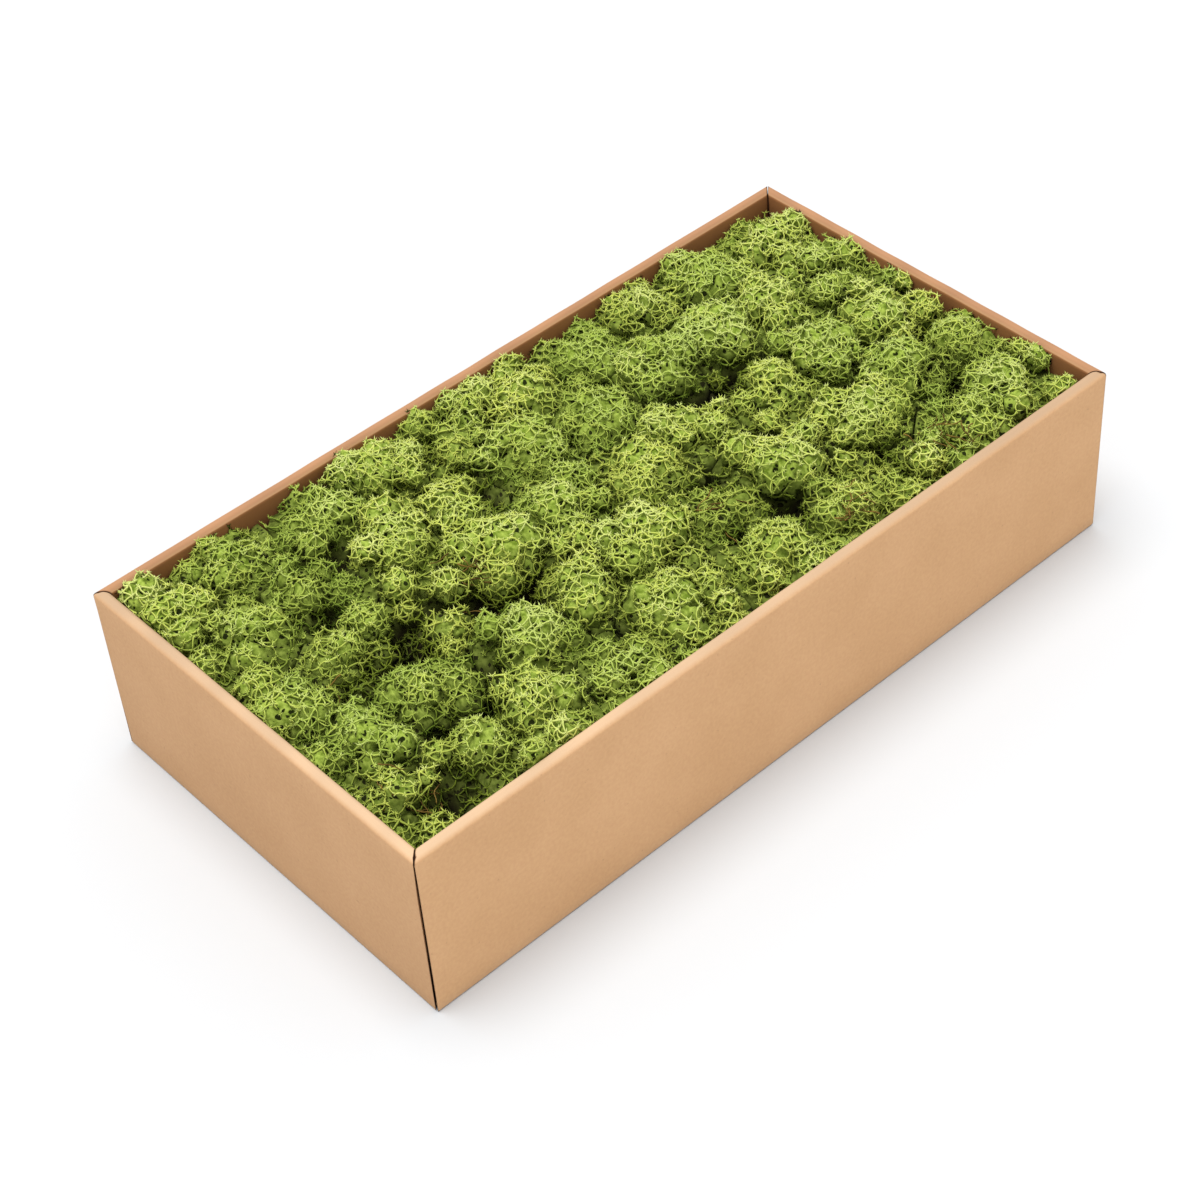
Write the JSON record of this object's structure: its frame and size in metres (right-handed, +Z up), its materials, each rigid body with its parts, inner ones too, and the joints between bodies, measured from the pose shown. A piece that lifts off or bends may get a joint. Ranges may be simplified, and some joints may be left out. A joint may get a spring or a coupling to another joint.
{
  "type": "preserved reindeer moss",
  "caption": "Cushions of soft green reindeer lichen, packed side by side in an open rectangular tray of folded kraft board with rolled rims.",
  "frame": {"origin": "middle of the tray's underside, on the surface that it stands on", "axes": "+X along the tray's long side, +Y along its short side, +Z up"},
  "size_m": [0.34, 0.18, 0.0859],
  "materials": {
    "kraft_board": "uncoated kraft liner, matt",
    "reindeer_moss": "soft, dyed yellow-green, matt"
  },
  "bodies": {
    "root": {"cardboard_tray": "kraft_board", "moss_cushion_01": "reindeer_moss", "moss_cushion_02": "reindeer_moss", "moss_cushion_03": "reindeer_moss", "moss_cushion_04": "reindeer_moss", "moss_cushion_05": "reindeer_moss", "moss_cushion_06": "reindeer_moss", "moss_cushion_07": "reindeer_moss", "moss_cushion_08": "reindeer_moss", "moss_cushion_09": "reindeer_moss", "moss_cushion_10": "reindeer_moss", "moss_cushion_11": "reindeer_moss", "moss_cushion_12": "reindeer_moss", "moss_cushion_13": "reindeer_moss", "moss_cushion_14": "reindeer_moss", "moss_cushion_15": "reindeer_moss", "moss_cushion_16": "reindeer_moss", "moss_cushion_17": "reindeer_moss", "moss_cushion_18": "reindeer_moss", "moss_cushion_19": "reindeer_moss", "moss_cushion_20": "reindeer_moss", "moss_cushion_21": "reindeer_moss", "moss_cushion_22": "reindeer_moss", "moss_cushion_23": "reindeer_moss", "moss_cushion_24": "reindeer_moss", "moss_cushion_25": "reindeer_moss", "moss_cushion_26": "reindeer_moss", "moss_cushion_27": "reindeer_moss", "moss_cushion_28": "reindeer_moss", "moss_cushion_29": "reindeer_moss", "moss_cushion_30": "reindeer_moss", "moss_cushion_31": "reindeer_moss", "moss_cushion_32": "reindeer_moss", "moss_cushion_33": "reindeer_moss", "moss_cushion_34": "reindeer_moss", "moss_cushion_35": "reindeer_moss", "moss_cushion_36": "reindeer_moss", "moss_cushion_37": "reindeer_moss", "moss_cushion_38": "reindeer_moss", "moss_cushion_39": "reindeer_moss", "moss_cushion_40": "reindeer_moss", "moss_cushion_41": "reindeer_moss", "moss_cushion_42": "reindeer_moss", "moss_cushion_43": "reindeer_moss", "moss_cushion_44": "reindeer_moss", "moss_cushion_45": "reindeer_moss", "moss_cushion_46": "reindeer_moss", "moss_cushion_47": "reindeer_moss", "moss_cushion_48": "reindeer_moss", "moss_cushion_49": "reindeer_moss", "moss_cushion_50": "reindeer_moss"}
  },
  "joints": []
}
